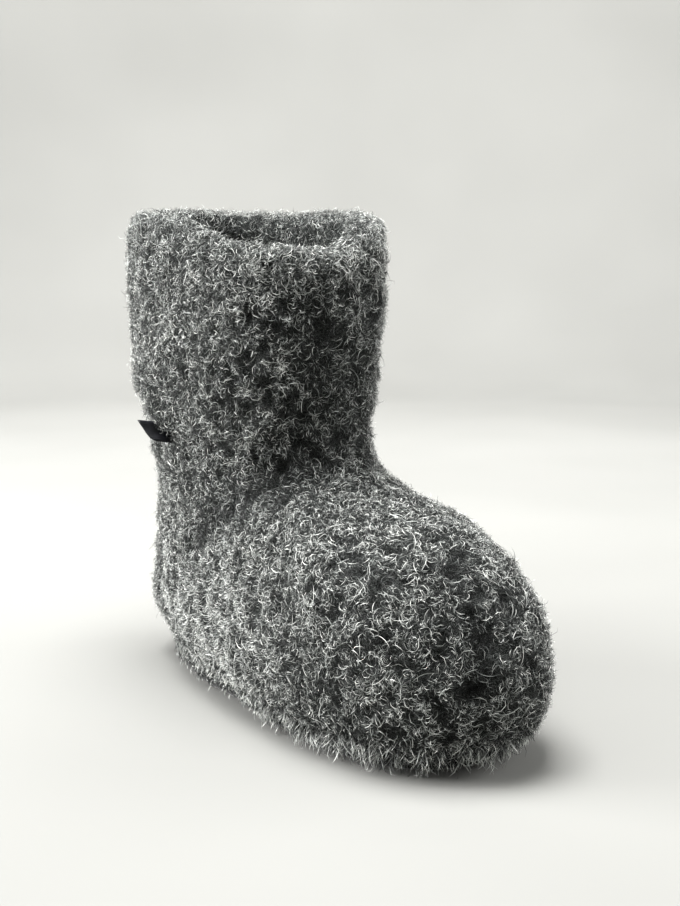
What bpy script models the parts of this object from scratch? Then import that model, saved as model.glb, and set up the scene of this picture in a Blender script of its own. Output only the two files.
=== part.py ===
"""A short boot slipper in curly wool pile, for the right foot, standing empty on its sole.

Metres, +Z up. The toe points along -Y, the wearer's right side is -X, and the origin is on
the floor under the middle of the slipper's box. The upper is one hollow wall, open at the
collar and underneath, where the outsole closes it. "Forward" is the distance from the plane
of the heel toward the toe, and "level" runs from 0 at the feather edge to 1 at the collar.
"""

import math

import bmesh
import bpy
import numpy as np

MM = 0.001
SLIPPER = "wool_boot_slipper"

# Driving dimensions, mm
GAP = 0.3  # between pieces that touch
SOLE_THICK = 4.0
INSOLE_THICK = 3.0
WALL = 12.0  # pile, cloth and pile lining together
WALL_AT_SOLE = 7.0
SEAM_FRONT = 12.0  # extra wall where the collar's sides meet at the front
SEAM_BACK = 8.0
RIM_ROUND = 8.0  # height of the collar's rounded top
SOLE_INSET = 3.5  # the outsole lies this far inside the feather edge, under the pile
SOLE_EDGE = 1.0  # its rounded lower edge
TOE_SWING = 4.0  # the toe's bend toward the other foot
WAIST_IN = 3.0  # hollow on the inner side of the waist

# The upper in tilted rings: forward and height of each ring at the heel and at the toe or
# instep, half its width, the share of its length where it is widest, and how square it is.
COLUMNS = ("level", "heel", "heel_z", "toe", "toe_z", "half", "widest", "heel_square", "toe_square")
RINGS = (
    (0.00, 17.5, 4.3, 251.0, 4.3, 45.0, 0.66, 2.5, 2.2),
    (0.05, 8.0, 12.0, 263.5, 14.0, 50.5, 0.66, 2.5, 2.2),
    (0.12, 1.5, 28.0, 269.0, 37.0, 54.5, 0.66, 2.5, 2.2),
    (0.20, 1.0, 42.0, 264.5, 62.5, 54.5, 0.65, 2.5, 2.3),
    (0.28, 1.5, 55.0, 250.0, 83.0, 52.0, 0.64, 2.4, 2.3),
    (0.37, 3.5, 67.0, 230.0, 95.0, 49.5, 0.62, 2.3, 2.2),
    (0.46, 3.5, 80.0, 203.5, 101.5, 46.5, 0.60, 2.2, 2.1),
    (0.55, 4.5, 93.0, 174.5, 106.0, 45.5, 0.56, 2.3, 2.1),
    (0.63, 5.0, 106.0, 151.0, 113.0, 46.0, 0.52, 2.3, 2.2),
    (0.71, 1.5, 124.0, 143.5, 128.0, 47.5, 0.50, 2.3, 2.3),
    (0.80, -6.0, 150.0, 148.0, 152.0, 50.0, 0.50, 2.3, 2.4),
    (0.90, -9.5, 184.0, 152.0, 184.0, 50.5, 0.50, 2.4, 2.5),
    (1.00, -10.0, 214.0, 153.0, 214.0, 49.5, 0.50, 2.5, 2.6),
)

# Height of the collar over the last ring, by the angle from the front toward the wearer's right
RIM_WAVE = (
    (-180, 16.0),
    (-135, 14.0),
    (-90, 14.5),
    (-45, 11.0),
    (-20, 4.0),
    (0, -3.0),
    (22, -3.0),
    (40, -2.0),
    (62, 0.5),
    (80, 10.0),
    (100, 13.5),
    (135, 16.0),
    (180, 16.0),
)
RIM_WAVE_FROM = 0.72  # the level where the wave starts to lift the rings

# The sole's underside, by forward distance: heel flat, hollow waist, forefoot flat, toe spring
WAIST = (80.0, 148.0)
WAIST_RISE = 2.0
SPRING = (216.0, 252.0)
SPRING_RISE = 3.0

AROUND = 84  # points round each ring
ROWS = 40  # rings up the outside
INNER_ROWS = 10
RIM_STEPS = 4
LOCK = 1.7  # size of a lock of pile
LOCK_DROP = 1.2  # how far its tip hangs down
LOCK_SEED = 5

# The folded label in the side of the heel
LABEL_LEVEL = 0.71
LABEL_SHARE = 0.29  # of the way round the ring, from the front
LABEL_OUT = 11.0
LABEL_WIDE = 11.0
LABEL_SLANT = 7.5  # how much less the lower corner stands out
LABEL_CLOTH = 0.5
LABEL_FOLD = 0.55  # radius of the fold
LABEL_ACROSS = np.linspace(0, 1, 4)
LABEL_CLEARING = 14.0  # the locks lie down this close to it


def smooth_rows(table, level):
    """Every column of a table at the given levels, on cubic curves through its rows."""
    table = np.array(table, float)
    at, values = table[:, 0], table[:, 1:]
    slope = np.gradient(values, at, axis=0)
    row = np.clip(np.searchsorted(at, level, side="right") - 1, 0, len(at) - 2)
    span = (at[row + 1] - at[row])[:, None]
    s = (np.asarray(level) - at[row])[:, None] / span
    start = values[row] * (1 + 2 * s) * (1 - s) ** 2 + slope[row] * span * s * (1 - s) ** 2
    end = values[row + 1] * s**2 * (3 - 2 * s) + slope[row + 1] * span * s**2 * (s - 1)
    return start + end


def fade(value, start, end):
    s = np.clip((value - start) / (end - start), 0.0, 1.0)
    return s * s * (3 - 2 * s)


def sole_rise(forward):
    """Height of the outsole's underside over the floor."""
    waist = np.clip((forward - WAIST[0]) / (WAIST[1] - WAIST[0]), 0.0, 1.0)
    spring = np.clip((forward - SPRING[0]) / (SPRING[1] - SPRING[0]), 0.0, 1.1)
    return WAIST_RISE * np.sin(math.pi * waist) ** 2 + SPRING_RISE * spring**2


def evenly_round(u, v, length, width):
    """Indices' fractions that space AROUND points evenly along a closed ring."""
    step = np.hypot(np.diff(u, append=u[:1]) * length / 2, np.diff(v, append=v[:1]) * width)
    walked = np.concatenate([[0.0], np.cumsum(step)])
    return np.interp(np.arange(AROUND) / AROUND * walked[-1], walked, np.arange(len(u) + 1))


def ring(level):
    """One ring of the outer form as AROUND points (x, forward, z), from the front round by -X."""
    sizes = smooth_rows(RINGS, np.array([level]))[0]
    heel, heel_z, toe, toe_z, half, widest, heel_square, toe_square = sizes
    angle = np.linspace(0, 2 * math.pi, 720, endpoint=False)
    square = np.where(np.cos(angle) >= 0, toe_square, heel_square)
    reach = (np.abs(np.cos(angle)) ** square + np.abs(np.sin(angle)) ** square) ** (-1 / square)
    u, v = reach * np.cos(angle), reach * np.sin(angle)
    at = evenly_round(u, v, toe - heel, half)
    around = np.arange(len(u) + 1)
    u, v = (np.interp(at, around, np.append(c, c[0])) for c in (u, v))
    share = np.where(u >= 0, widest + u * (1 - widest), widest * (1 + u))
    forward = heel + (toe - heel) * share
    z = heel_z + (toe_z - heel_z) * share
    x = -v * half
    low = 1 - fade(level, 0.15, 0.5)
    x = x + TOE_SWING * np.clip((forward - 100) / 170, 0, 1) ** 2
    x = x - (x > 0) * WAIST_IN * low * np.exp(-(((forward - 112) / 38) ** 2)) * np.abs(v)
    z = z + sole_rise(forward) * (1 - fade(level, 0.0, 0.15))
    turn = np.degrees(np.arctan2(v, u))
    wave = smooth_rows(RIM_WAVE, turn)[:, 0]
    z = z + wave * np.clip((level - RIM_WAVE_FROM) / (1 - RIM_WAVE_FROM), 0, 1) ** 1.5
    return np.stack([x, forward, z], axis=1)


def ring_grid(levels):
    return np.stack([ring(level) for level in levels])


def normals_of(grid):
    """Outward unit normals of a grid of rings."""
    up = np.gradient(grid, axis=0)
    along = np.roll(grid, -1, axis=1) - np.roll(grid, 1, axis=1)
    normal = np.cross(up, along)
    outward = grid - grid.mean(axis=1, keepdims=True)
    flip = np.sign((normal * outward).sum(axis=(1, 2)))[:, None, None]
    return normal * flip / np.linalg.norm(normal, axis=2, keepdims=True)


def wall_at(levels, turn):
    """Thickness of the wall at each level and angle from the front."""
    plain = WALL_AT_SOLE + (WALL - WALL_AT_SOLE) * fade(levels, 0.0, 0.15)
    front = SEAM_FRONT * np.clip(np.cos(turn), 0, 1) ** 3
    back = SEAM_BACK * np.clip(-np.cos(turn), 0, 1) ** 3
    return plain[:, None] + (front + back)[None, :] * fade(levels, 0.78, 1.0)[:, None]


def label_root():
    """Where the label leaves the smooth form: a line of points up it, and the way out and along."""
    grid = ring_grid(np.linspace(LABEL_LEVEL - 0.08, LABEL_LEVEL + 0.08, 9))
    line = grid[:, round(LABEL_SHARE * AROUND)]
    out = normals_of(grid)[4, round(LABEL_SHARE * AROUND)] * (1, 1, 0)
    out /= np.linalg.norm(out)
    height = line[4, 2] + LABEL_WIDE * (LABEL_ACROSS - 0.5)
    points = np.stack([np.interp(height, line[:, 2], line[:, k]) for k in range(3)], axis=1)
    return points, out, np.cross((0, 0, 1), out)


def is_tip(row, column):
    """Does a lock of pile end at this point of the grid? Every second point is one."""
    return (row + column) % 2 == 0


def add_locks(grid, normal):
    """The pile's locks: every second point of the grid stands out as a hanging tip."""
    random = np.random.default_rng(LOCK_SEED)
    rows, around = grid.shape[:2]
    tip = is_tip(np.arange(rows)[:, None], np.arange(around)[None, :])
    size = LOCK * random.uniform(0.25, 0.9, (rows, around))
    amount = np.where(tip, size, -0.5 * LOCK)
    root = label_root()[0].mean(axis=0)
    amount *= fade(np.linalg.norm(grid - root, axis=2), 0.6 * LABEL_CLEARING, LABEL_CLEARING)
    amount[0] = 0.0
    amount[-1] *= 0.5
    drop = np.zeros_like(grid)
    drop[2:, :, 2] = -LOCK_DROP * tip[2:]
    return grid + normal * amount[..., None] + drop


def upper_grid():
    """Every ring of the upper's skin: up the outside, over the rim and down the inside."""
    levels = np.linspace(0, 1, ROWS)
    smooth = ring_grid(levels)
    turn = 2 * math.pi * np.arange(AROUND) / AROUND
    direction = normals_of(smooth)
    direction[..., 2] *= fade(levels, 0.0, 0.12)[:, None]
    direction /= np.linalg.norm(direction, axis=2, keepdims=True)
    level_top = direction[-1] * (1, 1, 0)
    direction[-1] = level_top / np.linalg.norm(level_top, axis=1, keepdims=True)
    inside = smooth - direction * wall_at(levels, turn)[..., None]
    outside = add_locks(smooth, normals_of(smooth))
    rim = []
    for step in range(1, RIM_STEPS + 1):
        angle = math.pi * step / (RIM_STEPS + 1)
        share = (1 - math.cos(angle)) / 2
        point = outside[-1] * (1 - share) + inside[-1] * share
        rim.append(point + np.array([0, 0, RIM_ROUND * math.sin(angle)]))
    chosen = np.round(np.linspace(ROWS - 1, 0, INNER_ROWS + 1)).astype(int)
    return np.concatenate([outside, np.stack(rim), inside[chosen]])


def to_frame(points):
    """(x, forward, z) in mm to metres with the toe along -Y."""
    return np.asarray(points, float) * (MM, -MM, MM)


def sole_edges(grow):
    """The feather edge moved outward, as its two sides from toe to heel."""
    edge = ring(0.0)
    along = np.roll(edge, -1, axis=0) - np.roll(edge, 1, axis=0)
    out = np.cross(along, (0, 0, 1)) * (1, 1, 0)
    out *= np.sign((out * (edge - edge.mean(axis=0))).sum())
    edge = edge + grow * out / np.linalg.norm(out, axis=1, keepdims=True)
    half = AROUND // 2
    return edge[: half + 1], edge[(-np.arange(half + 1)) % AROUND]


def label_surface():
    """The ribbon's middle surface: out from the heel's side, round the fold and back."""
    root, out, along = label_root()
    reach = LABEL_OUT - LABEL_FOLD
    straight = np.linspace(0, 1, 5)
    turn = np.linspace(-math.pi / 3, math.pi / 3, 3)
    path = [(reach * s, -LABEL_FOLD) for s in straight]
    path += [(reach + LABEL_FOLD * math.cos(a), LABEL_FOLD * math.sin(a)) for a in turn]
    path += [(reach * s, LABEL_FOLD) for s in straight[::-1]]
    rows = []
    for distance, side in path:
        stands = 2 * GAP + distance - LABEL_SLANT * distance / LABEL_OUT * (1 - LABEL_ACROSS)
        rows.append(root + side * along + np.outer(stands, out))
    return np.stack(rows)


def new_object(name, mesh, material, parts):
    """Puts a mesh in the slipper's collection under a name, with one material."""
    thing = bpy.data.objects.new(name, mesh)
    mesh.materials.append(material)
    parts.objects.link(thing)
    return thing


def mesh_from(name, points, faces):
    """A mesh with its faces turned outward."""
    mesh = bpy.data.meshes.new(name)
    form = bmesh.new()
    corners = [form.verts.new(point) for point in points]
    for face in faces:
        form.faces.new([corners[i] for i in face])
    bmesh.ops.recalc_face_normals(form, faces=form.faces)
    form.to_mesh(mesh)
    form.free()
    return mesh


def tube_faces(rows, around):
    """Triangles between the rings of a grid whose last ring joins its first one.

    Each quad is cut between the two corners that aren't lock tips, so every tip is a peak.
    """
    faces = []
    for i in range(rows):
        for j in range(around):
            k = (j + 1) % around
            below, above = i * around, (i + 1) % rows * around
            a, b, c, d = below + j, below + k, above + k, above + j
            if is_tip(i, j):
                faces += [(a, b, d), (b, c, d)]
            else:
                faces += [(a, b, c), (a, c, d)]
    return faces


def make_upper(material, parts):
    grid = upper_grid()
    rows, around = grid.shape[:2]
    mesh = mesh_from("upper", to_frame(grid).reshape(-1, 3), tube_faces(rows, around))
    return new_object("upper", mesh, material, parts)


def make_plank(name, material, parts, grow, bottom, top, edge):
    """A sheet with an outline like the feather edge, between two heights over the sole's rise."""
    across = np.linspace(0, 1, 6)
    layers = []
    for height, inset in ((bottom, edge), (bottom + edge, 0.0), (top, 0.0)):
        left, right = sole_edges(grow - inset)
        row = left[:, None] * (1 - across)[None, :, None] + right[:, None] * across[None, :, None]
        row[..., 2] = sole_rise(row[..., 1]) + height
        layers.append(row)
    return plank_object(name, layers, material, parts)


def plank_object(name, layers, material, parts):
    """Joins the lower face, the side bands and the upper face of a sheet into one solid."""
    form = bmesh.new()
    rows, columns = layers[0].shape[:2]
    corners = []
    for layer in layers:
        places = to_frame(layer)
        grid = [[form.verts.new(places[i, j]) for j in range(columns)] for i in range(1, rows - 1)]
        toe, heel = form.verts.new(places[0, 0]), form.verts.new(places[-1, 0])
        corners.append([[toe] * columns, *grid, [heel] * columns])
    for grid in (corners[0], corners[-1]):
        for i in range(rows - 1):
            for j in range(columns - 1):
                face = (grid[i][j], grid[i + 1][j], grid[i + 1][j + 1], grid[i][j + 1])
                form.faces.new(list(dict.fromkeys(face)))
    for lower, upper in zip(corners, corners[1:]):
        if lower is corners[0] or upper is corners[-1]:
            for side in (0, -1):
                for i in range(rows - 1):
                    face = (lower[i][side], lower[i + 1][side], upper[i + 1][side], upper[i][side])
                    form.faces.new(face)
    # The middle layer only carries the side: its inner points go.
    used = [corner for corner in form.verts if not corner.link_faces]
    bmesh.ops.delete(form, geom=used, context="VERTS")
    bmesh.ops.recalc_face_normals(form, faces=form.faces)
    mesh = bpy.data.meshes.new(name)
    form.to_mesh(mesh)
    form.free()
    return new_object(name, mesh, material, parts)


def make_outsole(material, parts):
    return make_plank("outsole", material, parts, -SOLE_INSET, 0.0, SOLE_THICK, SOLE_EDGE)


def make_insole(material, parts):
    bottom = SOLE_THICK + GAP
    top = bottom + INSOLE_THICK
    return make_plank("insole", material, parts, -WALL_AT_SOLE - GAP, bottom, top, 0.5)


def make_label(material, parts):
    """A folded ribbon: an open strip thickened evenly to both sides."""
    grid = to_frame(label_surface())
    rows, columns = grid.shape[:2]
    faces = []
    for i in range(rows - 1):
        for j in range(columns - 1):
            a = i * columns + j
            faces.append((a, a + 1, a + columns + 1, a + columns))
    mesh = mesh_from("label_tab", grid.reshape(-1, 3), faces)
    label = new_object("label_tab", mesh, material, parts)
    cloth = label.modifiers.new("cloth", "SOLIDIFY")
    cloth.thickness = LABEL_CLOTH * MM
    cloth.offset = 0.0
    return label


def make_material(name, colour, roughness):
    material = bpy.data.materials.new(name)
    material.use_nodes = True
    shader = material.node_tree.nodes["Principled BSDF"]
    shader.inputs["Base Color"].default_value = (*colour, 1.0)
    shader.inputs["Roughness"].default_value = roughness
    shader.inputs["Metallic"].default_value = 0.0
    return material


def stand_over_origin(things):
    """Moves the slipper so that the middle of its box is over the origin."""
    bpy.context.view_layer.update()
    graph = bpy.context.evaluated_depsgraph_get()
    corners = np.array([corner for thing in things for corner in thing.evaluated_get(graph).bound_box])
    middle = (corners.min(axis=0) + corners.max(axis=0)) / 2
    for thing in things:
        thing.location = (-middle[0], -middle[1], 0.0)


def clear_scene():
    for thing in list(bpy.data.objects):
        bpy.data.objects.remove(thing, do_unlink=True)


def main():
    clear_scene()
    parts = bpy.data.collections.new(SLIPPER)
    bpy.context.scene.collection.children.link(parts)
    pile = make_material("wool_pile_charcoal", (0.075, 0.082, 0.08), 0.95)
    suede = make_material("suede_black", (0.012, 0.012, 0.012), 0.85)
    felt = make_material("wool_felt_grey", (0.045, 0.047, 0.047), 0.95)
    ribbon = make_material("woven_ribbon_black", (0.008, 0.008, 0.01), 0.5)
    pieces = [
        make_upper(pile, parts),
        make_outsole(suede, parts),
        make_insole(felt, parts),
        make_label(ribbon, parts),
    ]
    stand_over_origin(pieces)


main()
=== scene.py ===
import math

import bmesh
import bpy
import numpy as np
from mathutils import Matrix, Vector, kdtree, noise


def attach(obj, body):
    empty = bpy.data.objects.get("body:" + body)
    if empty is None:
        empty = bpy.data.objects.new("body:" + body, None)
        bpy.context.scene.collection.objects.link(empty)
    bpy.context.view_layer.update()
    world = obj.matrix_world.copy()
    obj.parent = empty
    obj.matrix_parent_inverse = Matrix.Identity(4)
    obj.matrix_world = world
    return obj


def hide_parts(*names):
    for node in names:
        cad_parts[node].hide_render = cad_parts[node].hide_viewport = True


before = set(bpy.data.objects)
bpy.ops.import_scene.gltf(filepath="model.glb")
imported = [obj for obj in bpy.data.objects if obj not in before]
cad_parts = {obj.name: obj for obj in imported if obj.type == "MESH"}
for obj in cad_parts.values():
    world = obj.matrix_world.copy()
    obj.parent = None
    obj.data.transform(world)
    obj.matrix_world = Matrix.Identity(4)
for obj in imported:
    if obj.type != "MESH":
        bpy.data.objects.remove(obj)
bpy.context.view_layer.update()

mm = 0.001


def linearColour(hexCode):
    channels = [int(hexCode[i:i + 2], 16) / 255 for i in (1, 3, 5)]
    return [c / 12.92 if c <= 0.04045 else ((c + 0.055) / 1.055) ** 2.4 for c in channels] + [1.0]


def addNode(tree, kind, settings=None, inputs=None, links=None, stops=None):
    # stops: the places and the colours on a colour ramp
    node = tree.nodes.new(kind)
    for key, value in (settings or {}).items():
        setattr(node, key, value)
    for key, value in (inputs or {}).items():
        node.inputs[key].default_value = value
    for key, socket in (links or {}).items():
        tree.links.new(socket, node.inputs[key])
    if stops:
        ramp = node.color_ramp.elements
        while len(ramp) < len(stops):
            ramp.new(1.0)
        for element, (at, colour) in zip(ramp, stops):
            element.position = at
            element.color = linearColour(colour)
    return node


def newMaterial(name, shaderInputs):
    material = bpy.data.materials.new(name)
    material.use_nodes = True
    tree = material.node_tree
    shader = tree.nodes["Principled BSDF"]
    for key, value in shaderInputs.items():
        shader.inputs[key].default_value = value
    return material, tree, shader


def addObject(name, mesh, material):
    mesh.shade_smooth()
    mesh.materials.append(material)
    thing = bpy.data.objects.new(name, mesh)
    bpy.context.scene.collection.objects.link(thing)
    return thing


def meshObject(name, form, material):
    mesh = bpy.data.meshes.new(name)
    form.to_mesh(mesh)
    form.free()
    return addObject(name, mesh, material)


def mergedCopy(node):
    form = bmesh.new()
    form.from_mesh(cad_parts[node].data)
    bmesh.ops.remove_doubles(form, verts=form.verts, dist=1e-5)
    form.normal_update()
    return form


def ownPlace(tree):
    # the place on the object itself, in metres
    return addNode(tree, "ShaderNodeTexCoord").outputs["Object"]


def cloudy(tree, place, stops, **noiseInputs):
    # a tone that wanders between the colours of the stops, in clouds 1 / Scale metres wide
    cloud = addNode(tree, "ShaderNodeTexNoise", inputs=noiseInputs, links={"Vector": place})
    tone = addNode(tree, "ShaderNodeValToRGB", links={"Fac": cloud.outputs["Fac"]}, stops=stops)
    return tone.outputs["Color"]


cameraSetup = {
    "lens": 52.6,  # mm, as is the sensor's width
    "sensor": 36,
    "nearest": 0.01,  # nothing nearer than this shows
    "place": (-0.3575, -0.5111, 0.2172),
    "down": 8.85,  # degrees below level
    "heading": -36.02,  # degrees from +Y
}


def makeCamera():
    camera = bpy.data.objects.new("camera", bpy.data.cameras.new("camera"))
    bpy.context.scene.collection.objects.link(camera)
    camera.data.lens = cameraSetup["lens"]
    camera.data.sensor_width = cameraSetup["sensor"]
    camera.data.clip_start = cameraSetup["nearest"]
    camera.location = cameraSetup["place"]
    tilt, heading = math.radians(90 - cameraSetup["down"]), math.radians(cameraSetup["heading"])
    camera.rotation_euler = (tilt, 0, heading)
    bpy.context.scene.camera = camera


studio = {
    "middleRadius": 0.5,
    "floorRadius": 1.9,
    "sweepRadius": 0.6,
    "sweepSteps": 12,
    "roundSteps": 72,
    "wallHeight": 1.3,
    "paperDark": "#7a7a77",
    "paperPale": "#7e7e7b",
    "sky": "#d9dad6",
    "skyStrength": 0.33,
}


def seamlessPaper():
    # matt studio paper: one even grey, with a slow change of tone that hardly shows
    material, tree, shader = newMaterial("seamlessPaper", {"Roughness": 0.95, "Specular IOR Level": 0.2})
    stops = [(0.35, studio["paperDark"]), (0.65, studio["paperPale"])]
    tone = cloudy(tree, ownPlace(tree), stops, Scale=3.0, Detail=2.0)
    tree.links.new(tone, shader.inputs["Base Color"])
    return material


def makeStudio():
    # floor and wall in one turned sweep, so that no horizon shows
    form = bmesh.new()
    reach, bend = studio["floorRadius"], studio["sweepRadius"]
    profile = [(0.0, 0.0), (studio["middleRadius"], 0.0), (reach - bend, 0.0)]
    for step in range(1, studio["sweepSteps"] + 1):
        turn = math.radians(90 * step / studio["sweepSteps"])
        profile.append((reach - bend + bend * math.sin(turn), bend - bend * math.cos(turn)))
    profile.append((reach, studio["wallHeight"]))
    corners = [form.verts.new((x, 0, z)) for x, z in profile]
    edges = [form.edges.new(pair) for pair in zip(corners, corners[1:])]
    bmesh.ops.spin(form, geom=corners + edges, cent=(0, 0, 0), axis=(0, 0, 1),
                   angle=2 * math.pi, steps=studio["roundSteps"], use_merge=True)
    bmesh.ops.remove_doubles(form, verts=form.verts, dist=1e-5)
    bmesh.ops.recalc_face_normals(form, faces=form.faces)
    lowest = min(form.faces, key=lambda face: face.calc_center_median().z)
    if lowest.normal.z < 0:
        bmesh.ops.reverse_faces(form, faces=form.faces)
    floor = meshObject("studioFloor", form, seamlessPaper())
    world = bpy.data.worlds.new("studioAir")
    bpy.context.scene.world = world
    world.use_nodes = True
    background = world.node_tree.nodes["Background"]
    background.inputs["Color"].default_value = linearColour(studio["sky"])
    background.inputs["Strength"].default_value = studio["skyStrength"]


lamps = {
    # name: place, what it looks at, size, watts
    "windowLight": ((-1.1, 0.92, 0.46), (0.0, 0.0, 0.09), (0.9, 0.85), 70.0),
    "softTop": ((-0.1, 0.1, 1.55), (0.0, 0.0, 0.09), (0.8, 0.8), 70.0),
    "windowHigh": ((-0.9, 0.2, 1.1), (0.0, 0.0, 0.09), (0.8, 0.8), 7.0),
    "roomSide": ((1.0, -0.65, 0.6), (0.0, 0.0, 0.09), (0.9, 0.7), 18.0),
    "wallLight": ((0.45, 0.62, 1.25), (1.1, 1.5, 0.3), (1.2, 0.5), 36.0),
}


def makeLamps():
    for name, (place, target, size, watts) in lamps.items():
        light = bpy.data.lights.new(name, "AREA")
        light.shape = "RECTANGLE"
        light.size, light.size_y = size
        light.energy = watts
        lamp = bpy.data.objects.new(name, light)
        lamp.location = place
        lamp.rotation_euler = (Vector(target) - Vector(place)).to_track_quat("-Z", "Y").to_euler()
        lamp.visible_camera = False
        bpy.context.scene.collection.objects.link(lamp)


makeCamera()
makeStudio()
makeLamps()
bpy.context.scene.view_settings.view_transform = "Standard"
print("studio ready")


def fineLines(tree, place, under, size, twist, colour, gain):
    # thin bent lines like fibres lying flat on the colour under them, about this size in mm:
    # they are the contour lines of a twisted noise
    field = addNode(tree, "ShaderNodeTexNoise",
                    inputs={"Scale": 1000 / size, "Detail": 1.0, "Distortion": twist},
                    links={"Vector": place})
    line = addNode(tree, "ShaderNodeValToRGB", links={"Fac": field.outputs["Fac"]},
                   stops=[(0.38, "#000000"), (0.41, colour), (0.44, "#000000"),
                          (0.56, "#000000"), (0.59, colour), (0.62, "#000000")])
    # a mix of colours has how much at 0, the two colours at 6 and 7 and what comes out at 2
    mix = addNode(tree, "ShaderNodeMix", {"data_type": "RGBA", "blend_type": "ADD"}, {0: gain},
                  {6: under, 7: line.outputs["Color"]})
    return mix.outputs[2]


def finishSurface(tree, shader, colour, height, strength, distance):
    bump = addNode(tree, "ShaderNodeBump", inputs={"Strength": strength, "Distance": distance},
                   links={"Height": height})
    tree.links.new(colour, shader.inputs["Base Color"])
    tree.links.new(bump.outputs["Normal"], shader.inputs["Normal"])


def woolPileCurly():
    # curled wool and mohair fibres: each hair has its own shade, with a weak soft gloss; it is darkened
    # toward the cloth as painted shade deep in the pile, so that it looks silvery toward its tip
    material, tree, shader = newMaterial(
        "woolPileCurly", {"Roughness": 0.45, "IOR": 1.55, "Specular IOR Level": 0.16})
    strand = addNode(tree, "ShaderNodeUVMap", {"uv_map": "OFBake"})
    parts = addNode(tree, "ShaderNodeSeparateXYZ", links={"Vector": strand.outputs["UV"]})
    shade = addNode(tree, "ShaderNodeValToRGB", links={"Fac": parts.outputs["X"]},
                    stops=[(0.0, "#060707"), (0.25, "#191b1b"), (0.5, "#5a5e5c"),
                           (0.75, "#acb0ac"), (1.0, "#e9ebe6")])
    # painted shade: the lower part of each hair is darkened, from near black at the root to none at 0.6 of
    # its length
    length = addNode(tree, "ShaderNodeValToRGB", links={"Fac": parts.outputs["Y"]},
                     stops=[(0.0, "#303030"), (0.3, "#a8a8a8"), (0.6, "#ffffff"), (1.0, "#ffffff")])
    mixed = addNode(tree, "ShaderNodeMix", {"data_type": "RGBA", "blend_type": "MULTIPLY"},
                    {0: 1.0}, {6: shade.outputs["Color"], 7: length.outputs["Color"]})
    tree.links.new(mixed.outputs[2], shader.inputs["Base Color"])
    return material


def woolUndercoat():
    # the matted fine under-wool on the knitted back: near-black felt, partly its own dark colour and
    # partly painted shade for the gaps deep in the pile, with the lowest curled fibres lying in it 1 to 2
    # mm apart
    material, tree, shader = newMaterial(
        "woolUndercoat", {"Roughness": 0.95, "Specular IOR Level": 0.05})
    place = ownPlace(tree)
    tone = cloudy(tree, place, [(0.35, "#040505"), (0.7, "#161817")],
                  Scale=160.0, Detail=4.0, Roughness=0.7)
    wide = fineLines(tree, place, tone, size=2.4, twist=1.8, colour="#b4b8b4", gain=0.2)
    fine = fineLines(tree, place, wide, size=1.4, twist=2.4, colour="#7d817e", gain=0.22)
    finishSurface(tree, shader, fine, fine, strength=0.8, distance=0.5 * mm)
    return material


def woolFeltGrey():
    # pressed grey felt: no weave, a cloudy mix of dark and pale fibres and a matt, fuzzy surface
    material, tree, shader = newMaterial(
        "woolFeltGrey", {"Roughness": 0.95, "Specular IOR Level": 0.15, "Sheen Weight": 0.25,
                         "Sheen Roughness": 0.6})
    place = ownPlace(tree)
    tone = cloudy(tree, place, [(0.3, "#232524"), (0.55, "#3b3e3d"), (0.75, "#575b59")],
                  Scale=90.0, Detail=6.0, Roughness=0.75)
    fibres = fineLines(tree, place, tone, size=1.4, twist=2.0, colour="#9a9e9b", gain=0.2)
    finishSurface(tree, shader, fibres, fibres, strength=0.6, distance=0.3 * mm)
    return material


def suedeBlack():
    # split leather with its nap up: near black, matt, cloudy where the nap lies one way or the
    # other, with short fibres under a millimetre
    material, tree, shader = newMaterial(
        "suedeBlack", {"Roughness": 0.9, "Specular IOR Level": 0.2, "Sheen Weight": 0.3,
                       "Sheen Roughness": 0.45})
    place = ownPlace(tree)
    tone = cloudy(tree, place, [(0.35, "#0f0f0f"), (0.6, "#1a1a1a"), (0.75, "#262625")],
                  Scale=55.0, Detail=5.0, Roughness=0.6)
    nap = addNode(tree, "ShaderNodeTexNoise", inputs={"Scale": 1600.0, "Detail": 2.0},
                  links={"Vector": place})
    finishSurface(tree, shader, tone, nap.outputs["Fac"], strength=0.5, distance=0.2 * mm)
    return material


def satinRibbonBlack():
    # woven polyester satin: near black with a cool glow, and fine ribs across it; the real ones are
    # about 0.3 mm apart, too fine to show, so they are drawn 0.9 mm apart
    ribStep = 0.9 * mm
    material, tree, shader = newMaterial(
        "satinRibbonBlack", {"Roughness": 0.36, "Specular IOR Level": 0.3, "Sheen Weight": 0.08,
                             "Sheen Roughness": 0.35, "Sheen Tint": (0.75, 0.75, 1.0, 1.0)})
    place = ownPlace(tree)
    ribs = addNode(tree, "ShaderNodeTexWave", {"bands_direction": "Z"},
                   # the wave repeats every 2 pi / (20 * scale) metres
                   {"Scale": 2 * math.pi / (20 * ribStep), "Distortion": 0.4, "Detail": 1.0},
                   {"Vector": place})
    tone = cloudy(tree, place, [(0.35, "#020304"), (0.7, "#0b0c12")], Scale=260.0, Detail=2.0)
    finishSurface(tree, shader, tone, ribs.outputs["Fac"], strength=0.5, distance=0.1 * mm)
    return material


def waxedThread():
    # twisted waxed sewing thread: charcoal, flecked by its short fibres, with a slight gloss
    material, tree, shader = newMaterial("waxedThread", {"Roughness": 0.5})
    tone = cloudy(tree, ownPlace(tree), [(0.35, "#2a2b2b"), (0.65, "#4b4d4d")], Scale=2500.0)
    tree.links.new(tone, shader.inputs["Base Color"])
    return material


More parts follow.
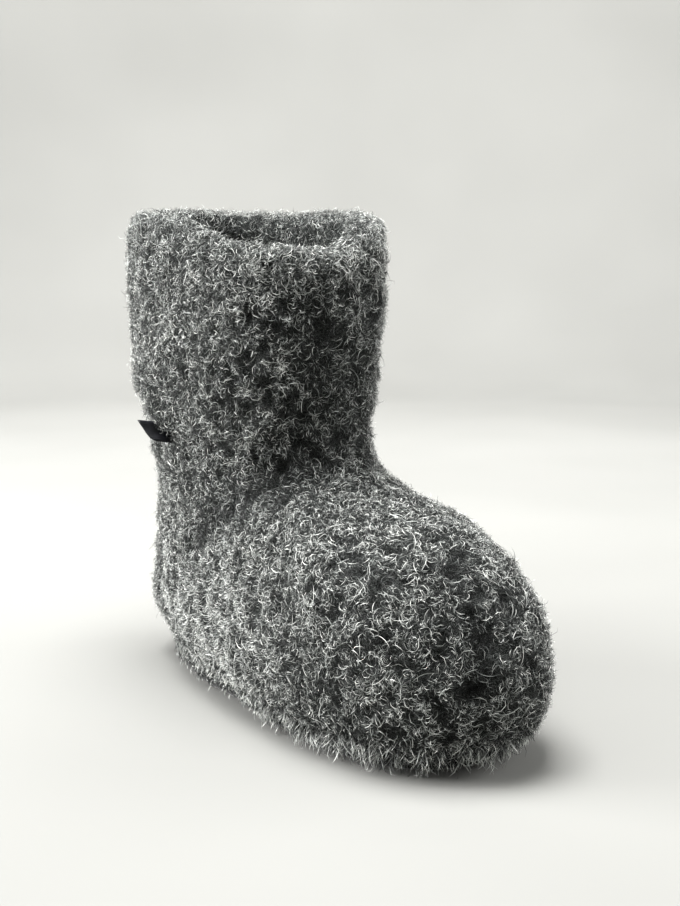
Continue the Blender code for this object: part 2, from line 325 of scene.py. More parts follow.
# the upper's cloth, which lies under the pile, and the form that the pile has on it
skin = {
    "seed": 3,
    "smoothCoarse": 2,
    "smoothFine": 2,
    "smoothing": 0.5,
    "fixedRing": 0.2,  # the rings up to this one stay where the solid has them
    "underBelow": 10 * mm,  # faces that look down below this height are the underside
    "clothUnder": 2.4 * mm,  # the cloth lies this far under the top of the pile
    "liningUnder": 0.9 * mm,
    "liningDeepest": 1.2 * mm,  # and the cloth of the lining lies no deeper than this
    "rim": 40,  # the ring along the top of the rim's roll, and how many rings the roll is wide
    "rimWide": 2.1,
    "lining": 43.5,  # rings past this one are the lining
    "liningFade": (42, 44),  # the lining's depth takes over across these rings
    "flatBelow": (5 * mm, 12 * mm),  # flat up to the first height, where the sole is sewn on
    "lumps": ((34 * mm, 1.8 * mm), (13 * mm, 1.4 * mm)),  # size and height of the uneven lumps
    "pileOver": 0.4 * mm,  # the thick part of the pile ends this far outside the smooth solid
    "curlArea": 20 * mm ** 2,  # one curl of wool to so much surface
    "curlGap": 1.1 * mm,
    "curlHeight": 2.3 * mm,
    "usualFull": 0.6,  # how full the pile is where it doesn't stand in clumps
    "levelFull": 0.7,  # a pile this full is neither raised nor sunk
    "pitArea": 110 * mm ** 2,  # one deep gap in the pile to so much surface
    "pitWide": 2.6 * mm,
    "pitDeep": 3.6 * mm,
    # the depth at which the painted shade in a fold is darkest
    "foldDark": 3 * mm,  # a fold this deep is as dark as folds get
}

# soft folds: points on the surface in mm, then width and depth in mm
folds = {
    "ankleCrease": ([(-16, -13, 123), (-30, -11, 109), (-41, 5, 102), (-46, 19, 87), (-47, 43, 73)],
                    11, 3.2),
    "shaftHollow": ([(-15, -21, 192), (-10, -19, 157), (-7, -16, 130)], 10, 2.2),
    "toeHollow": ([(-10, -114, 85), (-4, -106, 92)], 9, 3.0),
    "toeTrough": ([(-13, -129, 66), (-16, -134, 44)], 8, 4.0),
}
# places where the whole form goes in a little or, with a depth below 0, swells
swells = {
    "overTab": ([(-44, 98, 146), (-47, 80, 147)], 9, -2.4),
    "tabTop": ([(-41, 92, 138), (-45, 80, 138)], 7, -1.0),
    "tabLap": ([(-46.5, 75, 136), (-47, 65, 131)], 5, -5.5),
    "tabNotch": ([(-44, 84, 118), (-42, 95, 127), (-37, 106, 130)], 11, 5.0),
    "belowTab": ([(-41, 90, 108), (-38, 96, 98)], 10, 2.4),
    "heelBack": ([(-30, 104, 76), (-29, 106, 66)], 15, -2.6),
    "heelSide": ([(-37, 94, 52), (-38, 91, 40), (-44, 72, 28)], 12, 3.6),
    "rimCorner": ([(-46, 92, 237), (-42, 110, 237), (-30, 121, 238)], 14, 3.0),
    "rimBack": ([(20, 119, 236), (31, 108, 235)], 12, -3.2),
    "toeShoulder": ([(34, -84, 90), (32, -96, 88), (30, -108, 83)], 12, 3.0),
}
# the pile is rounded under along the heel's lower edge, in the same way
underHeel = ([(-51, 12, 15), (-48, 31, 15), (-45, 50, 15), (-41, 69, 15), (-36, 87, 15), (-26, 106, 15)],
             12, 4.6)


def stepsFrom(start, edges):
    # how many edges it takes to reach each vertex
    neighbours = {}
    for edge in edges:
        for corner in edge.verts:
            neighbours.setdefault(corner, []).append(edge.other_vert(corner))
    steps, front, count = dict.fromkeys(start, 0), list(start), 0
    while front:
        count += 1
        front = list(dict.fromkeys(b for a in front for b in neighbours.get(a, []) if b not in steps))
        steps.update(dict.fromkeys(front, count))
    return steps


def numberRings(form):
    # how many rings each vertex is from the feather edge, up the outside and down the lining
    layer = form.verts.layers.float.new("ring")
    form.verts.ensure_lookup_table()
    form.normal_update()
    under = {face for face in form.faces
             if face.normal.z < -0.98 and face.calc_center_median().z < skin["underBelow"]}
    border = [edge for edge in form.edges if sum(face in under for face in edge.link_faces) == 1]
    wall = [edge for edge in form.edges if not all(face in under for face in edge.link_faces)]
    toe = min((corner for edge in border for corner in edge.verts), key=lambda corner: corner.co.y)
    feather = stepsFrom([toe], border)
    for corner, number in stepsFrom(feather, wall).items():
        corner[layer] = number
    return layer


def distanceToLine(points, line):
    best = np.full(len(points), 1e9)
    for start, end in zip(line, line[1:]):
        start, end = np.array(start) * mm, np.array(end) * mm
        way = end - start
        share = np.clip((points - start) @ way / (way @ way), 0, 1)
        best = np.minimum(best, np.linalg.norm(points - start - share[:, None] * way, axis=1))
    return best


def dipAlong(points, line, width, depth):
    return depth * mm * np.exp(-(distanceToLine(points, line) / (width * mm)) ** 2)


def bumpy(points, size, seed):
    shift = Vector((seed * 7.3, seed * 3.1, seed * 5.7))
    return np.array([noise.noise(Vector(p) / size + shift) for p in points])


def fadeIn(value, start, end):
    share = np.clip((value - start) / (end - start), 0, 1)
    return share * share * (3 - 2 * share)


def unit(vectors):
    return vectors / np.maximum(np.linalg.norm(vectors, axis=-1, keepdims=True), 1e-12)


def squareTo(axis, vectors):
    # the part of the vectors at right angles to the axis, made 1 long
    return unit(vectors - axis * (vectors * axis).sum(axis=1, keepdims=True))


def between(random, limits, count):
    return limits[0] + (limits[1] - limits[0]) * random.random(count)


def scatter(form, density, random):
    # roots over the triangles of the form, by the density of each in roots for each square metre
    expected = form["area"] * density
    count = int(expected.sum())
    chosen = np.sort(random.choice(len(expected), count, p=expected / expected.sum()))
    a, b = random.random(count), random.random(count)
    over = a + b > 1
    a[over], b[over] = 1 - a[over], 1 - b[over]
    weights = np.stack([1 - a - b, a, b], axis=1)[..., None]
    picked = form["triangles"][chosen]
    return {"place": (form["surface"][picked] * weights).sum(axis=1),
            "normal": unit((form["normal"][picked] * weights).sum(axis=1)),
            "ring": (form["ring"][picked] * weights[..., 0]).sum(axis=1)}


def treeOf(points):
    tree = kdtree.KDTree(len(points))
    for i, point in enumerate(points):
        tree.insert(point, i)
    tree.balance()
    return tree


def rimBand(ring):
    return np.exp(-((ring - skin["rim"]) / skin["rimWide"]) ** 2)


clumps = {
    "footFront": -95 * mm,  # the clumps get weaker from here back on the foot
    "shaftFront": 5 * mm,  # and from here back on the shaft
    "ankle": (100 * mm, 125 * mm),  # heights, from the foot to the shaft
    "fade": 45 * mm,
    "weakerBack": 0.5,
    "weakerRim": 0.6,
}


def clumping(points, ring):
    # 1 where the pile stands in deep clumps, on the front of the toe and of the shaft; half as much
    # on the heel and the sides, and least on the rim
    shaft = fadeIn(points[:, 2], *clumps["ankle"])
    front = clumps["footFront"] + (clumps["shaftFront"] - clumps["footFront"]) * shaft
    back = fadeIn(points[:, 1], front, front + clumps["fade"])
    return (1 - clumps["weakerBack"] * back) * (1 - clumps["weakerRim"] * rimBand(ring))


brush = {
    "from": (-70 * mm, -10 * mm),  # none in front of the first place, all of it behind the second
    "upTo": (50 * mm, 105 * mm),  # all of it below the first height, none above the second
    "way": np.array([0, 1.0, -0.5]),  # toward the heel and down
    "back": (45 * mm, 80 * mm),  # round the back of the heel the hairs follow it less
    "weakerBack": 0.7,
    "freeLess": 0.45,  # so much less of the way that a hair would lie by itself
    "woundLess": 0.8,  # so many fewer hairs wind round a curl
    "straighter": 0.35,
}


def brushing(points):
    # 1 low on the heel and the sides, where the pile is brushed one way; the hairs there are also made
    # paler
    return fadeIn(points[:, 1], *brush["from"]) * (1 - fadeIn(points[:, 2], *brush["upTo"]))


def unevenness(form, points, ring):
    # how far the top of the pile is off the smooth form; also the middle of the curl of wool
    # that each point is on, how full the pile is there (0 in a gap) and how deep in a pit or fold
    outside = np.clip(skin["lining"] - ring, 0, 1)
    rise = skin["pileOver"] + np.zeros(len(points))
    for number, (size, height) in enumerate(skin["lumps"]):
        rise += height * bumpy(points, size, number + 1)
    deepest = np.max([dipAlong(points, *each) for each in folds.values()], axis=0) * outside
    rise -= deepest + sum(dipAlong(points, *each) for each in swells.values()) * outside
    middle, margin, pit = np.empty((len(points), 3)), np.empty(len(points)), np.empty(len(points))
    for i, point in enumerate(points):
        (near, _, first), (_, _, second) = form["curls"].find_n(point, 2)
        middle[i], margin[i] = near, second - first
        pit[i] = form["pits"].find(point)[2]
    clumped = clumping(points, ring)
    usual = skin["usualFull"]
    full = usual + (1 - usual - np.exp(-margin / skin["curlGap"])) * clumped
    pit = np.exp(-(pit / skin["pitWide"]) ** 2) * outside * clumped
    rise += skin["curlHeight"] * (full - skin["levelFull"]) - skin["pitDeep"] * pit
    rise = rise * fadeIn(points[:, 2], *skin["flatBelow"]) - dipAlong(points, *underHeel)
    return {"rise": rise, "middle": middle, "full": full, "pit": pit,
            "fold": np.clip(deepest / skin["foldDark"], 0, 1)}


def makeCloth(material):
    random = np.random.default_rng(skin["seed"])
    mesh = mergedCopy("upper")
    layer = numberRings(mesh)
    for stage in ("smoothCoarse", "smoothFine"):
        for _ in range(skin[stage]):
            loose = [corner for corner in mesh.verts if skin["fixedRing"] < corner[layer] < skin["lining"]]
            bmesh.ops.smooth_vert(mesh, verts=loose, factor=skin["smoothing"],
                                  use_axis_x=True, use_axis_y=True, use_axis_z=True)
        if stage == "smoothCoarse":
            bmesh.ops.subdivide_edges(mesh, edges=mesh.edges, cuts=1, use_grid_fill=True)
    bmesh.ops.triangulate(mesh, faces=mesh.faces)
    mesh.normal_update()
    mesh.verts.index_update()
    surface = np.array([corner.co for corner in mesh.verts])
    normal = np.array([corner.normal for corner in mesh.verts])
    ring = np.array([corner[layer] for corner in mesh.verts])
    triangles = np.array([[corner.index for corner in face.verts] for face in mesh.faces])
    corners = surface[triangles]
    square = np.cross(corners[:, 1] - corners[:, 0], corners[:, 2] - corners[:, 0])
    form = {"surface": surface, "normal": normal, "ring": ring, "triangles": triangles,
            "area": np.linalg.norm(square, axis=1) / 2, "faceRing": ring[triangles].mean(axis=1),
            "facePlace": corners.mean(axis=1)}
    form["under"] = (unit(square)[:, 2] < -0.97) & (form["facePlace"][:, 2] < skin["underBelow"])
    everywhere = np.ones(len(triangles))
    form["curls"] = treeOf(scatter(form, everywhere / skin["curlArea"], random)["place"])
    form["pits"] = treeOf(scatter(form, everywhere / skin["pitArea"], random)["place"])
    inside = fadeIn(ring, *skin["liningFade"])
    inset = skin["clothUnder"] * (1 - inside) + skin["liningUnder"] * inside
    lift = unevenness(form, surface, ring)["rise"] - inset * fadeIn(surface[:, 2], *skin["flatBelow"])
    lift = np.where(inside > 0, np.maximum(lift, -skin["liningDeepest"]), lift)
    for corner, point, way, height in zip(mesh.verts, surface, normal, lift):
        corner.co = point + way * height
    cloth = meshObject("pileCloth", mesh, material)
    print("cloth", len(triangles), "triangles")
    return cloth, form


# hairs for each square mm outside, on the lining in view and deep in it; how deep each is rooted,
# how wide it is, and the radius and the angle of its bend; its tilt from the normal and how far it
# bends back to the cloth; and the shares that wind round the middle of their curl and that are pale
curls = {
    "name": "curls", "seed": 21, "points": 4,
    "outside": 0.58, "lining": 0.45, "deepLining": 0.08,
    "root": (0.3 * mm, 1.9 * mm), "width": (0.16 * mm, 0.25 * mm),
    "radius": (1.5 * mm, 3.7 * mm), "sweep": (1.3, 2.7),
    "tilt": (0.9, 1.4), "inward": (0.1, 0.5), "wound": 0.5, "pale": 0.49,
}
fluff = {
    "name": "fluff", "seed": 34, "points": 3,
    "outside": 0.88, "lining": 0.6, "deepLining": 0.08,
    "root": (0.2 * mm, 1.8 * mm), "width": (0.16 * mm, 0.28 * mm),
    "radius": (1.1 * mm, 2.5 * mm), "sweep": (0.8, 1.7),
    "tilt": (0.6, 1.4), "inward": (0.2, 0.8), "wound": 0.35, "pale": 0.49,
}
wisps = {
    "name": "wisps", "seed": 55, "points": 2,
    "outside": 1.0, "lining": 0.6, "deepLining": 0.1,
    "root": (0.1 * mm, 1.5 * mm), "width": (0.17 * mm, 0.26 * mm),
    "radius": (1.7 * mm, 3.4 * mm), "sweep": (0.8, 1.1),
    "tilt": (0.3, 1.4), "inward": (0.1, 0.8), "wound": 0.3, "pale": 0.49,
}
# the longer, paler hairs that stand out, most of them on the toe
guard = {
    "name": "guardHairs", "seed": 5, "points": 7, "count": 1500,
    "root": (0.6 * mm, 1.2 * mm), "width": (0.18 * mm, 0.3 * mm),
    "radius": (4 * mm, 9 * mm), "sweep": (0.7, 1.5),
    "tilt": (1.1, 1.5), "inward": (0.1, 0.45), "wound": 0.0, "pale": 1.0,
    "lastRing": 46,
    "toe": (20 * mm, 100 * mm),  # more and more of them between these distances forward
    "moreOnToe": 2.0,
}
# the hairs that hang over the edge of the sole
hem = {
    "name": "hemHairs", "seed": 8, "points": 4, "count": 8500,
    "rings": (0.3, 1.9),  # up to the second; the ones past the first follow the heel's lower edge
    "root": (0.3 * mm, 1.4 * mm), "width": (0.18 * mm, 0.3 * mm),
    "radius": (1.4 * mm, 2.8 * mm), "sweep": (0.8, 1.8), "pale": 0.45,
    "out": (0.3, 0.9),  # they start out, down and, by chance, to one side
    "down": 0.6,
    "aside": 0.9,
    "bendDown": 0.7,  # and bend down, to one side and in
    "bendAside": 1.0,
    "bendIn": 0.3,
    "toe": (0, 60 * mm),  # longer and longer between these distances forward
    "longerToe": 1.1,
    "tuftSize": 9 * mm,
    "longerTuft": 0.8,
    "longest": [(-36, -104), (-49, -66), (-47, -20)],  # the longest ones hang here, in mm
    "longestMore": 0.7,
    "longestWide": 14 * mm,
}

growth = {
    # how hairs of every kind stand on the cloth
    "worn": (155 * mm, 205 * mm),  # the lining thins out from the second height down to the first
    "missing": 0.9,  # so many of them are missing in the middle of a pit
    "flowSize": 9 * mm,  # hairs nearer to each other than this lie much the same way
    "flowTurn": 9,
    "flowLoose": 0.6,
    "handSize": 3 * mm,
    "windLoose": 0.45,
    "reach": (0.8, 0.4),  # a hair's size in a gap, and how much more it is where the pile is full
    "lowest": 0.3 * mm,  # nothing goes into the floor
    "twist": 0.75,  # how far a ribbon's face is turned from the cloth's
    "wide": (0.85, 0.45),  # a ribbon's width if it is black, and how much more if it is silver
    "tip": 0.5,  # and what is left of it near the point
    "acrossShade": 0.012,
    "margin": 0.02,  # how far inside the map's edges its shade and its length stay
}

# each kind is cut into pieces by region: the lining, then down the shaft, then forward to the toe
pieceRegions = ("Lining", "Shaft", "Ankle", "Heel", "Instep", "Toe")
shaftFrom, ankleFrom = 150 * mm, 105 * mm
heelFrom, instepFrom = 30 * mm, -60 * mm


def strands(place, first, curl, radius, sweep, points):
    # arcs that leave along first and bend toward curl
    turn = np.linspace(0, 1, points)[None, :] * sweep[:, None]
    along = np.sin(turn)[..., None] * first[:, None]
    aside = (1 - np.cos(turn))[..., None] * curl[:, None]
    line = place[:, None] + radius[:, None, None] * (along + aside)
    tangent = np.cos(turn)[..., None] * first[:, None] + np.sin(turn)[..., None] * curl[:, None]
    line[..., 2] = np.maximum(line[..., 2], growth["lowest"])
    return line, tangent


def ribbonMesh(name, line, tangent, normal, width, shade, material, random):
    # each hair is a flat ribbon that ends in a point; its UV holds its shade and its length
    count, points = line.shape[:2]
    rows = points - 1
    facing = normal + growth["twist"] * unit(random.normal(size=normal.shape))
    dark, pale = growth["wide"]
    taper = (width * (dark + pale * shade))[:, None] * np.linspace(1, growth["tip"], points)[None]
    half = taper[..., None] * unit(np.cross(tangent, facing[:, None])) / 2
    corners = np.empty((count, 2 * rows + 1, 3), np.float32)
    corners[:, 0:2 * rows:2] = (line - half)[:, :rows]
    corners[:, 1:2 * rows:2] = (line + half)[:, :rows]
    corners[:, -1] = line[:, -1]
    quads = [(2 * k, 2 * k + 1, 2 * k + 3, 2 * k + 2) for k in range(rows - 1)]
    pattern = np.array([c for quad in quads for c in quad] + [2 * rows - 2, 2 * rows - 1, 2 * rows])
    base = np.arange(count)[:, None] * (2 * rows + 1)
    sizes = np.tile([4] * (rows - 1) + [3], count)
    across = np.array([-1.0, 1.0] * rows + [0.0])
    low, high = growth["margin"], 1 - growth["margin"]
    up = np.append(np.repeat(np.linspace(low, high, points)[:rows], 2), high)
    u = shade[:, None] + growth["acrossShade"] * across[pattern][None]
    v = np.broadcast_to(up[pattern][None], u.shape)
    mesh = bpy.data.meshes.new(name)
    mesh.vertices.add(corners.shape[0] * corners.shape[1])
    mesh.vertices.foreach_set("co", corners.ravel())
    mesh.loops.add(u.size)
    mesh.loops.foreach_set("vertex_index", (base + pattern[None]).astype(np.int32).ravel())
    mesh.polygons.add(len(sizes))
    mesh.polygons.foreach_set("loop_start", np.append(0, np.cumsum(sizes)[:-1]).astype(np.int32))
    mesh.update(calc_edges=True)
    mesh.uv_layers.new(name="OFBake")
    mesh.uv_layers["OFBake"].data.foreach_set("uv", np.stack([u, v], axis=-1).astype(np.float32).ravel())
    print(name, count, "hairs,", count * (2 * rows - 1), "triangles")
    return addObject(name, mesh, material)


def flatAxes(normal):
    # two directions along the surface: across is level, down hangs
    down = squareTo(normal, np.array([0, 0, -1.0]))
    return unit(np.cross(normal, down)), down


tones = {
    # the shades of dark and of pale hairs, from 0, black, to 1, silver
    "darkHair": (0.0, 0.32),
    "paleHair": (0.6, 1.0),
    # how much each thing moves the shade of a hair
    "patch": 0.05,
    # painted shade: hairs in the gaps between curls are darker, and hairs in full curls paler
    "curl": 0.24,
    # painted shade: hairs in the deep pits are darker
    "pit": -0.5,
    # painted shade: hairs in the soft folds are darker
    "fold": -0.2,
    # painted highlight: hairs on the front of the rim's roll are paler
    "rim": 0.24,  # at the front; it fades to the back
    "rimFade": 1.05,
    "rimBack": (-15 * mm, 45 * mm),
    "even": 0.35,  # so much less contrast between the hairs on the rim
    "evenBrushed": 0.4,  # and this share of it where they are brushed
    # painted shade: hairs down inside the lining are darker, more the deeper they are
    "lining": -0.28,  # down inside, growing from the second height down to the first
    "liningDown": (205 * mm, 236 * mm),
    "liningPatch": 0.3,
    # hairs low on the heel and the sides are made paler
    "brushed": 0.15,
    # painted shade: hairs rooted deeper in the pile are darker
    "depth": -0.2,  # for each mm under the top of the pile
    "lint": 1.6,
}
paleShare = {
    # how much each thing moves the share of pale hairs
    # painted shade: fewer pale hairs where the pile clumps most, on the front of the toe and the shaft,
    # and more where it clumps least
    "clumped": -0.12,
    "patch": 0.1,
    # painted shade: fewer pale hairs in the gaps between curls
    "curl": 0.2,
    # painted shade: fewer pale hairs in the pits
    "pit": -0.5,
    # painted shade: fewer pale hairs in the folds
    "fold": -0.15,
}
patchSize, liningPatchSize = 12 * mm, 11 * mm
lint = [(-26.5, -11.4, 162.8), (-47.6, 34.2, 203.5), (-38, 20, 128)]  # white flecks in the pile, in mm
lintWide = 2.2 * mm


def hairShades(kind, roots, depth, random):
    # pale hairs among dark ones; fewer pale hairs and darker shades in the gaps, pits, folds, deep in the
    # pile and down the lining are painted shade, and the paler front of the rim is a painted highlight
    place, ring, pit, fold = (roots[key] for key in ("place", "ring", "pit", "fold"))
    count = len(place)
    patch = bumpy(place, patchSize, 4)
    curl = roots["full"] - skin["usualFull"]
    # painted shade: fewer pale hairs on the front of the toe and the shaft
    pale = kind["pale"] + paleShare["clumped"] * (clumping(place, ring) - 0.5)
    pale += paleShare["patch"] * patch + paleShare["curl"] * curl
    pale += paleShare["pit"] * pit + paleShare["fold"] * fold
    light = random.random(count) < pale
    shade = np.where(light, between(random, tones["paleHair"], count),
                     between(random, tones["darkHair"], count))
    rim, brushed = rimBand(ring), brushing(place)
    shade -= tones["even"] * np.maximum(rim, tones["evenBrushed"] * brushed) * (shade - 0.5)
    # the rim's painted highlight fades toward the back
    rim = rim * (1 - tones["rimFade"] * fadeIn(place[:, 1], *tones["rimBack"]))
    # where the lining's painted shade falls: inside, below the rim
    inside = (ring > skin["lining"] - 1) * (1 - fadeIn(place[:, 2], *tones["liningDown"]))
    # patch is tone that differs at random; curl, pit, fold, depth and lining are painted shade, and rim is
    # a painted highlight
    shade += tones["patch"] * patch + tones["curl"] * curl + tones["pit"] * pit + tones["fold"] * fold
    shade += tones["rim"] * rim + tones["brushed"] * brushed + tones["depth"] * (depth / mm - 1.0)
    shade += inside * (tones["lining"] + tones["liningPatch"] * bumpy(place, liningPatchSize, 9))
    for spot in lint:
        away = np.linalg.norm(place - np.array(spot) * mm, axis=1)
        shade += tones["lint"] * np.exp(-(away / lintWide) ** 2)
    return np.clip(shade, growth["margin"], 1 - growth["margin"])


def makeHair(form, kind, density, material):
    random = np.random.default_rng(kind["seed"])
    roots = scatter(form, density, random)
    roots.update(unevenness(form, roots["place"], roots["ring"]))
    kept = random.random(len(roots["place"])) > growth["missing"] * roots["pit"]
    roots = {key: values[kept] for key, values in roots.items()}
    place, normal, ring = (roots[key] for key in ("place", "normal", "ring"))
    count = len(place)

    # which way each hair lies: much as its neighbours do, or, low on the heel, as it is brushed
    across, down = flatAxes(normal)
    flow = growth["flowTurn"] * bumpy(place, growth["flowSize"], 5)
    flow += growth["flowLoose"] * random.normal(size=count)
    lean = across * np.cos(flow)[:, None] + down * np.sin(flow)[:, None]
    brushed = brushing(place) * (ring < skin["lining"])
    brushed *= 1 - brush["weakerBack"] * fadeIn(place[:, 1], *brush["back"])
    brushed = brushed[:, None]
    lean = lean * (1 - brush["freeLess"] * brushed) + squareTo(normal, brush["way"]) * brushed
    lean = squareTo(normal, lean)
    side = np.cross(normal, lean) * np.sign(random.random(count) - 0.5)[:, None]

    # or round the middle of its curl
    wound = random.random(count)[:, None] < kind["wound"] * (1 - brush["woundLess"] * brushed)
    toMiddle = squareTo(normal, roots["middle"] - place)
    hand = np.sign(bumpy(roots["middle"], growth["handSize"], 6))[:, None]
    loose = growth["windLoose"] * random.normal(size=normal.shape)
    around = unit(np.cross(normal, toMiddle) * hand + loose)
    lean, side = np.where(wound, around, lean), np.where(wound, toMiddle, side)

    tilt = between(random, kind["tilt"], count)[:, None]
    first = unit(normal * np.cos(tilt) + lean * np.sin(tilt))
    curl = squareTo(first, side - between(random, kind["inward"], count)[:, None] * normal)
    depth = between(random, kind["root"], count)
    root = place + normal * (roots["rise"] - depth)[:, None]
    least, more = growth["reach"]
    straight = 1 + brush["straighter"] * brushed[:, 0]
    radius = between(random, kind["radius"], count) * (least + more * roots["full"]) * straight
    sweep = between(random, kind["sweep"], count) / straight
    line, tangent = strands(root, first, curl, radius, sweep, kind["points"])
    width = between(random, kind["width"], count)
    shade = hairShades(kind, roots, depth, random)
    if kind is guard:
        return [ribbonMesh(kind["name"], line, tangent, normal, width, shade, material, random)]
    region = np.select([ring > skin["lining"], place[:, 2] > shaftFrom, place[:, 2] > ankleFrom,
                        place[:, 1] > heelFrom, place[:, 1] > instepFrom], range(5), 5)
    made = []
    for number in np.unique(region):
        mine = region == number
        made.append(ribbonMesh(kind["name"] + pieceRegions[number], line[mine], tangent[mine],
                               normal[mine], width[mine], shade[mine], material, random))
    return made


def pileDensity(form, kind):
    # on the lining it thins out downward, to what a foot has worn down
    worn = 1 - fadeIn(form["facePlace"][:, 2], *growth["worn"])
    inside = kind["lining"] * (1 - worn) + kind["deepLining"] * worn
    density = np.where(form["faceRing"] > skin["lining"], inside, kind["outside"])
    return np.where(form["under"], 0.0, density) / mm ** 2


def guardDensity(form):
    weight = np.where(form["under"] | (form["faceRing"] > guard["lastRing"]), 0.0, 1.0)
    weight *= 1 + guard["moreOnToe"] * fadeIn(-form["facePlace"][:, 1], *guard["toe"])
    return weight * guard["count"] / (form["area"] * weight).sum()


def makeHem(form, material):
    # the pile hangs over the edge of the sole in uneven tufts
    random = np.random.default_rng(hem["seed"])
    tuckedRing, lastRing = hem["rings"]
    weight = ((form["faceRing"] < lastRing) & ~form["under"]).astype(float)
    roots = scatter(form, weight * hem["count"] / (form["area"] * weight).sum(), random)
    place, normal = roots["place"], roots["normal"]
    count = len(place)
    across = flatAxes(normal)[0]
    out = unit(normal * (1, 1, 0))
    fall = np.array([0, 0, -1.0])
    first = unit(out * between(random, hem["out"], count)[:, None] + fall * hem["down"]
                 + across * hem["aside"] * random.normal(size=count)[:, None])
    bent = hem["bendDown"] * fall + hem["bendAside"] * across * random.normal(size=count)[:, None]
    curl = squareTo(first, bent - hem["bendIn"] * out)
    depth = between(random, hem["root"], count)
    tuck = dipAlong(place, *underHeel) * (roots["ring"] > tuckedRing)
    longer = 1 + hem["longerTuft"] * bumpy(place * (1, 1, 0), hem["tuftSize"], 2)
    longer *= 1 + hem["longerToe"] * fadeIn(-place[:, 1], *hem["toe"])
    for spot in hem["longest"]:
        away = np.linalg.norm(place[:, :2] - np.array(spot) * mm, axis=1)
        longer += hem["longestMore"] * np.exp(-(away / hem["longestWide"]) ** 2)
    line, tangent = strands(place - normal * (depth + tuck)[:, None], first, curl,
                            between(random, hem["radius"], count) * longer,
                            between(random, hem["sweep"], count), hem["points"])
    roots.update(full=np.full(count, skin["usualFull"]), pit=np.zeros(count), fold=np.zeros(count))
    shade = hairShades(hem, roots, depth, random)
    width = between(random, hem["width"], count)
    return ribbonMesh(hem["name"], line, tangent, normal, width, shade, material, random)


soleLook = {
    "lift": 0.15 * mm,  # the suede lies so much above the thread's lowest point
    "stitchInset": 3.2 * mm,
    "stitchLong": 4.2 * mm,
    "stitchStep": 6.0 * mm,
    "thread": 0.32 * mm,  # radius
    "threadRound": 8,
    "threadAlong": 6,
}
footbedLook = {
    "uneven": 0.5 * mm,
    "unevenSize": 14 * mm,
}
softEdges = {
    # the edges of the sole and of the footbed
    "sharper": 0.6,  # they are softened where they are sharper than this angle
    "soften": 0.25,
}


def softCopy(name, node, material):
    # the solid's own form with its edges softened
    form = mergedCopy(node)
    bmesh.ops.subdivide_edges(form, edges=form.edges, cuts=1, use_grid_fill=True)
    bmesh.ops.triangulate(form, faces=form.faces)
    sharp = [edge for edge in form.edges
             if len(edge.link_faces) == 2 and edge.calc_face_angle() > softEdges["sharper"]]
    soften = list({corner for edge in sharp for corner in edge.verts})
    bmesh.ops.smooth_vert(form, verts=soften, factor=softEdges["soften"],
                          use_axis_x=True, use_axis_y=True, use_axis_z=True)
    form.normal_update()
    for corner in form.verts:
        if node == "insole" and corner.normal.z > 0.5:
            corner.co.z += footbedLook["uneven"] * noise.noise(corner.co / footbedLook["unevenSize"])
        elif node == "outsole" and corner.normal.z < -0.5:
            corner.co.z += soleLook["lift"]
    return meshObject(name, form, material)


def underOutline():
    # the edge of the outsole's lower face, in order
    form = mergedCopy("outsole")
    border = [edge for edge in form.edges if sum(face.normal.z < -0.9 for face in edge.link_faces) == 1]
    edgesAt = {}
    for edge in border:
        for corner in edge.verts:
            edgesAt.setdefault(corner, []).append(edge)
    edge, corner = border[0], border[0].verts[0]
    outline = []
    while len(outline) < len(border):
        outline.append(np.array(corner.co))
        corner = edge.other_vert(corner)
        edge = next(other for other in edgesAt[corner] if other != edge)
    form.free()
    return np.array(outline)


def makeStitches(material):
    # running stitches round the sole, pressed into the suede
    outline = underOutline()
    way = unit(np.roll(outline, -1, axis=0) - np.roll(outline, 1, axis=0))
    inward = unit(np.cross((0, 0, 1), way))
    if ((outline.mean(axis=0) - outline) * inward).sum() < 0:
        inward = -inward
    seam = outline + inward * soleLook["stitchInset"]
    seam = np.vstack([seam, seam[:1]])
    walked = np.append(0, np.cumsum(np.linalg.norm(np.diff(seam, axis=0), axis=1)))
    thread = soleLook["thread"]
    form = bmesh.new()
    for start in np.arange(0, walked[-1] - soleLook["stitchLong"], soleLook["stitchStep"]):
        ends = [Vector([np.interp(at, walked, axis) for axis in seam.T])
                for at in (start, start + soleLook["stitchLong"])]
        along = ends[1] - ends[0]
        middle = (ends[0] + ends[1]) / 2 + Vector((0, 0, thread))
        stitch = Matrix.LocRotScale(middle, along.to_track_quat("Z", "Y"),
                                    Vector((thread, thread, along.length / 2)))
        bmesh.ops.create_uvsphere(form, u_segments=soleLook["threadRound"],
                                  v_segments=soleLook["threadAlong"], radius=1, matrix=stitch)
    return meshObject("soleStitches", form, material)


tab = {
    # in mm, each from its low end to its high end: where it leaves the pile, and its folded free edge
    "root": ((-42.8, 61.0, 121.6), (-43.0, 70.5, 130.4)),
    "edge": ((-51.8, 63.4, 123.0), (-53.6, 65.0, 124.3), (-54.7, 67.0, 126.5), (-55.7, 69.0, 129.3),
             (-57.3, 71.0, 132.7)),
    "ply": (0.0, -0.5, 0.87),  # the way from one layer to the other
    "cloth": 0.35,
    "fold": 0.45,  # radius
    "pinch": 0.35,  # at the fold the layers are so much nearer to each other than at the root
    "foldTurns": (-50, 0, 50),  # degrees
    "acrossSteps": 8,
    "outSteps": 9,
}


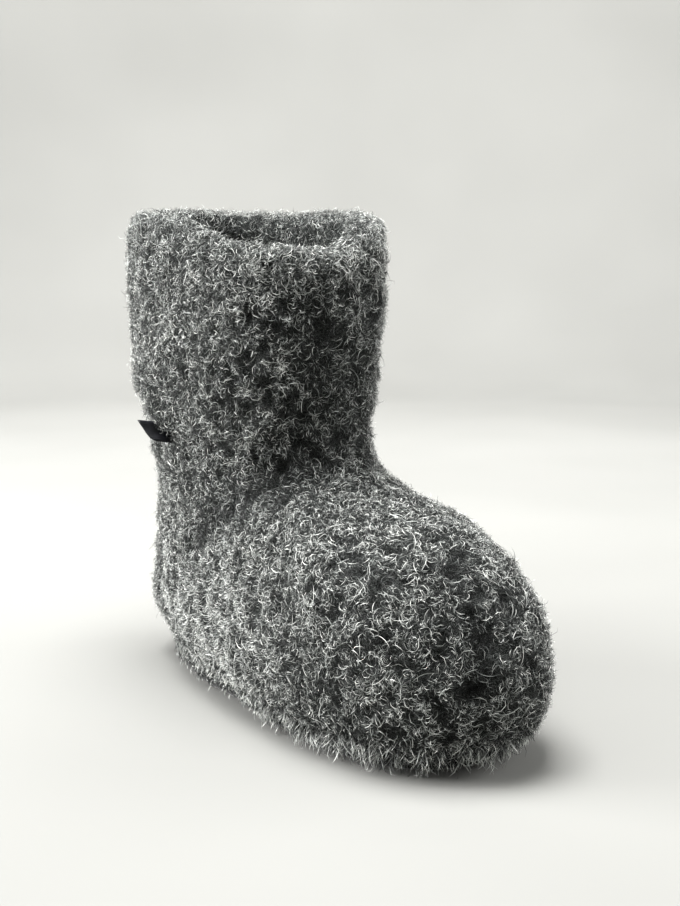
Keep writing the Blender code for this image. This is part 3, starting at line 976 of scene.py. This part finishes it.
def evenPoints(line, count):
    # this many points along the line, the same number between each two of its own
    along = np.linspace(0, 1, len(line))
    return np.array([np.interp(np.linspace(0, 1, count), along, axis) for axis in zip(*line)]).T * mm


def makeTab(material):
    # a folded ribbon: out from the heel's side, round the fold and back
    root, edge = (evenPoints(tab[key], tab["acrossSteps"] + 1) for key in ("root", "edge"))
    radius = tab["fold"] * mm
    out = np.linspace(0, 1, tab["outSteps"] + 1)
    path = [(share, -1.0) for share in out]
    path += [(1.0, math.sin(turn)) for turn in np.radians(tab["foldTurns"])]
    path += [(share, 1.0) for share in out[::-1]]
    form = bmesh.new()
    rows = []
    for share, side in path:
        over = unit(edge - root) * radius * math.sqrt(1 - side ** 2)
        apart = np.array(tab["ply"]) * radius * side * (1 - tab["pinch"] * share)
        rows.append([form.verts.new(point) for point in root + (edge - root) * share + over + apart])
    for first, second in zip(rows, rows[1:]):
        for k in range(tab["acrossSteps"]):
            form.faces.new((first[k], first[k + 1], second[k + 1], second[k]))
    bmesh.ops.recalc_face_normals(form, faces=form.faces)
    bmesh.ops.solidify(form, geom=form.faces, thickness=tab["cloth"] * mm / 2)
    bmesh.ops.recalc_face_normals(form, faces=form.faces)
    return meshObject("ribbonTab", form, material)


pileMaterial = woolPileCurly()
cloth, form = makeCloth(woolUndercoat())
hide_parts("upper")
pieces = [cloth]
for kind in (curls, fluff, wisps):
    pieces += makeHair(form, kind, pileDensity(form, kind), pileMaterial)
pieces += makeHair(form, guard, guardDensity(form), pileMaterial)
pieces.append(makeHem(form, pileMaterial))
for piece in pieces:
    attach(piece, "root")
print("pile ready,", sum(len(piece.data.polygons) for piece in pieces), "faces")

sole = softCopy("suedeSole", "outsole", suedeBlack())
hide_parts("outsole")
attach(sole, "root")
stitches = makeStitches(waxedThread())
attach(stitches, "root")
footbed = softCopy("feltFootbed", "insole", woolFeltGrey())
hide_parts("insole")
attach(footbed, "root")
print("sole and footbed ready")

ribbon = makeTab(satinRibbonBlack())
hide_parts("label_tab")
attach(ribbon, "root")
print("label ready")
